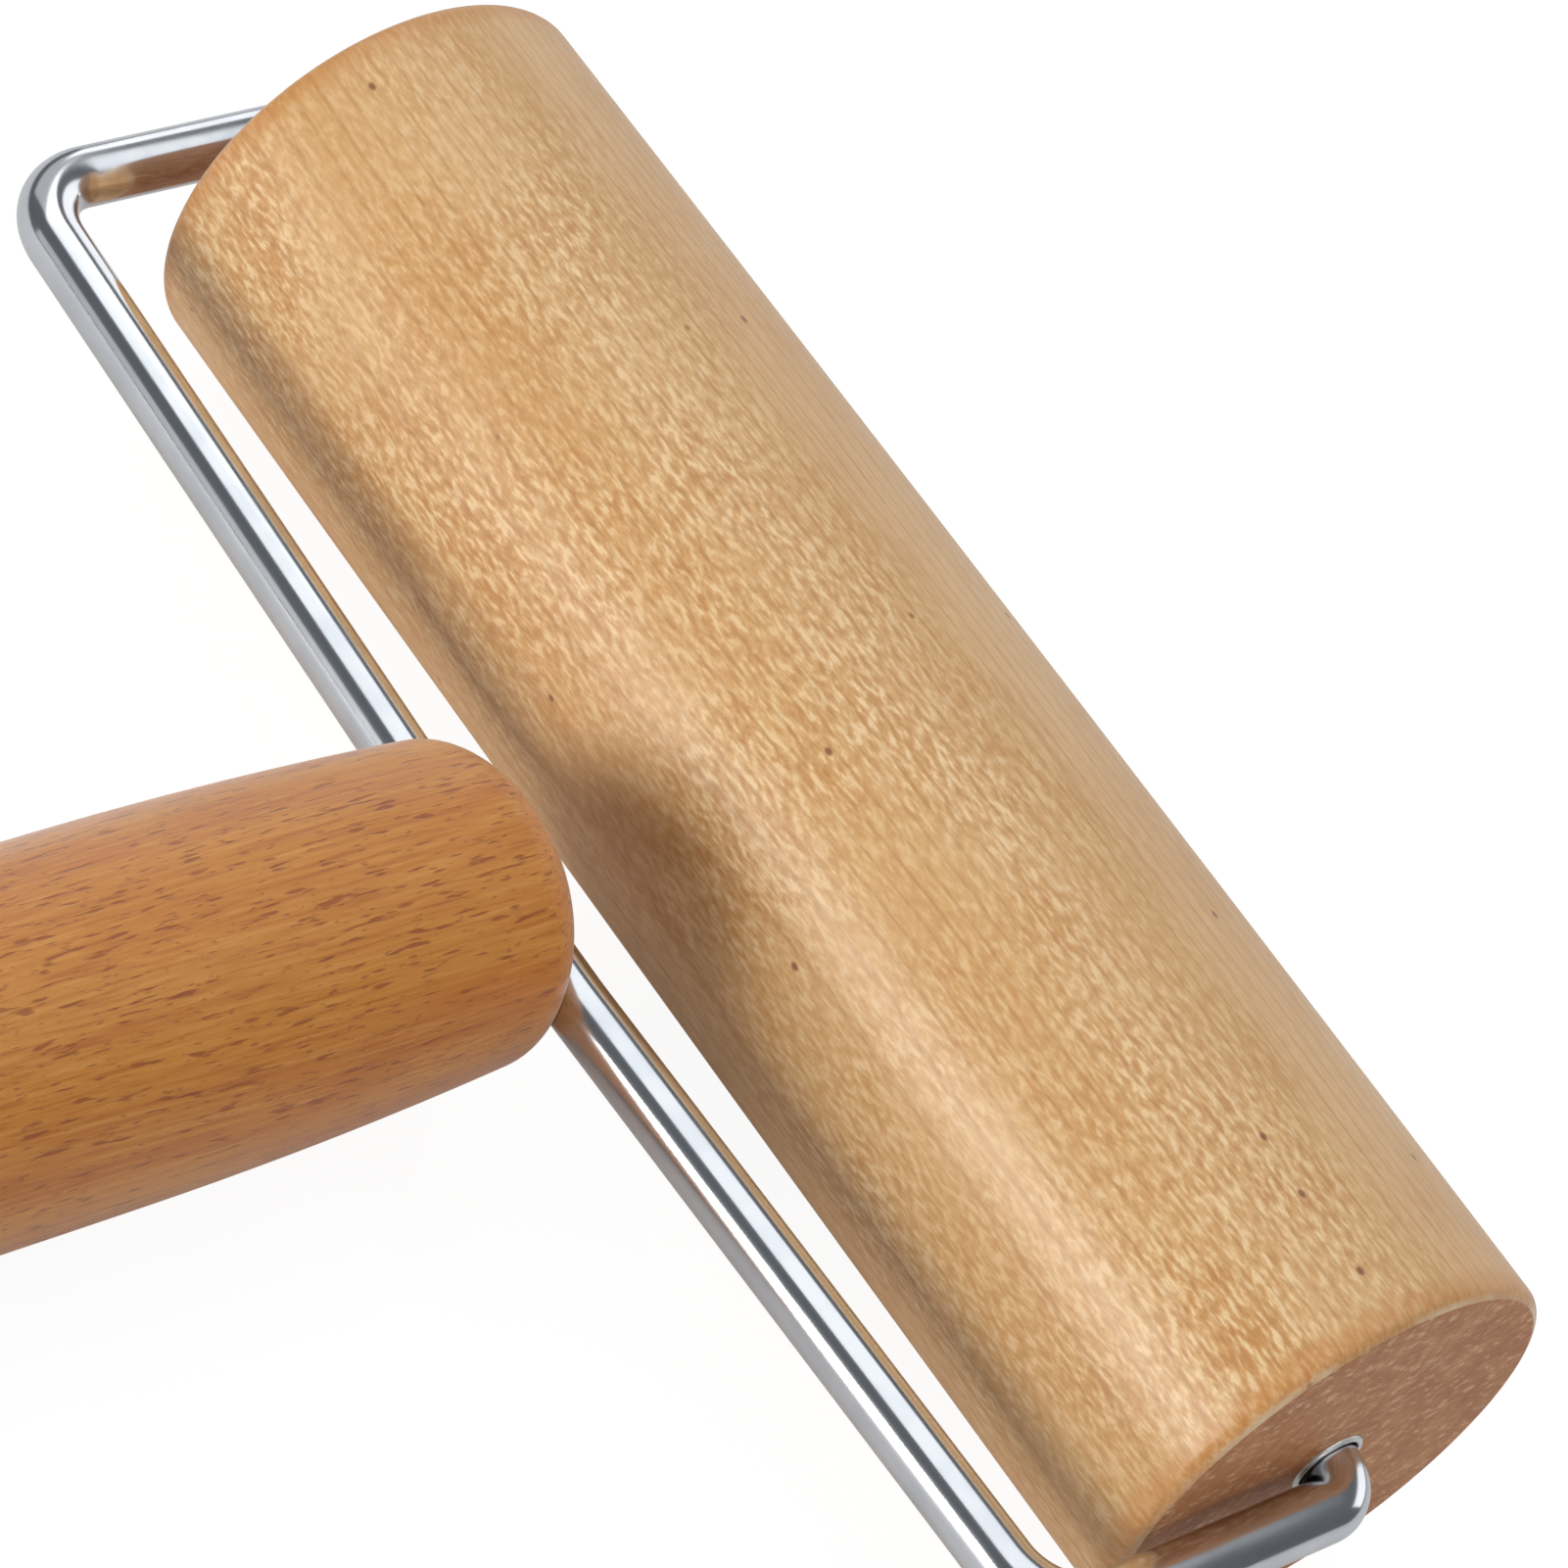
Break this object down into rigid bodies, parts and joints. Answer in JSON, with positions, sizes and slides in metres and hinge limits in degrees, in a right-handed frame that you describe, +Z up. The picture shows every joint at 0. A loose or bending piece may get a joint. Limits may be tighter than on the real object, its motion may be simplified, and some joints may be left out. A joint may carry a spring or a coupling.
{
  "type": "hand roller",
  "caption": "Hand roller: a turned wooden roller spinning in a bent chromed wire frame, with a barrel-shaped wooden handle across the frame's crossbar.",
  "frame": {"origin": "centre of the bounding box, on the table that the roller and the handle's far end rest on", "axes": "+X along the roller's axis to the right seen from the handle, +Y from the handle towards the roller, +Z up from the table"},
  "size_m": [0.1204, 0.1492, 0.032],
  "materials": {
    "roller_wood": "fine-grained pale hardwood under a satin varnish",
    "handle_wood": "beech with short dark flecks along the grain, satin varnish",
    "wire_chrome": "bright chrome plating on drawn steel wire",
    "sleeve_metal": "pale zinc-plated thin steel tube"
  },
  "bodies": {
    "frame": {"wire_frame": "wire_chrome", "handle": "handle_wood"},
    "roller": {"roller": "roller_wood", "sleeve_left": "sleeve_metal", "sleeve_right": "sleeve_metal"}
  },
  "joints": [
    {"name": "roller_spin", "type": "hinge", "parent": "frame", "child": "roller", "pos_m": [0.00105, 0.05859, 0.016], "axis": [1, 0, 0], "continuous": true}
  ]
}
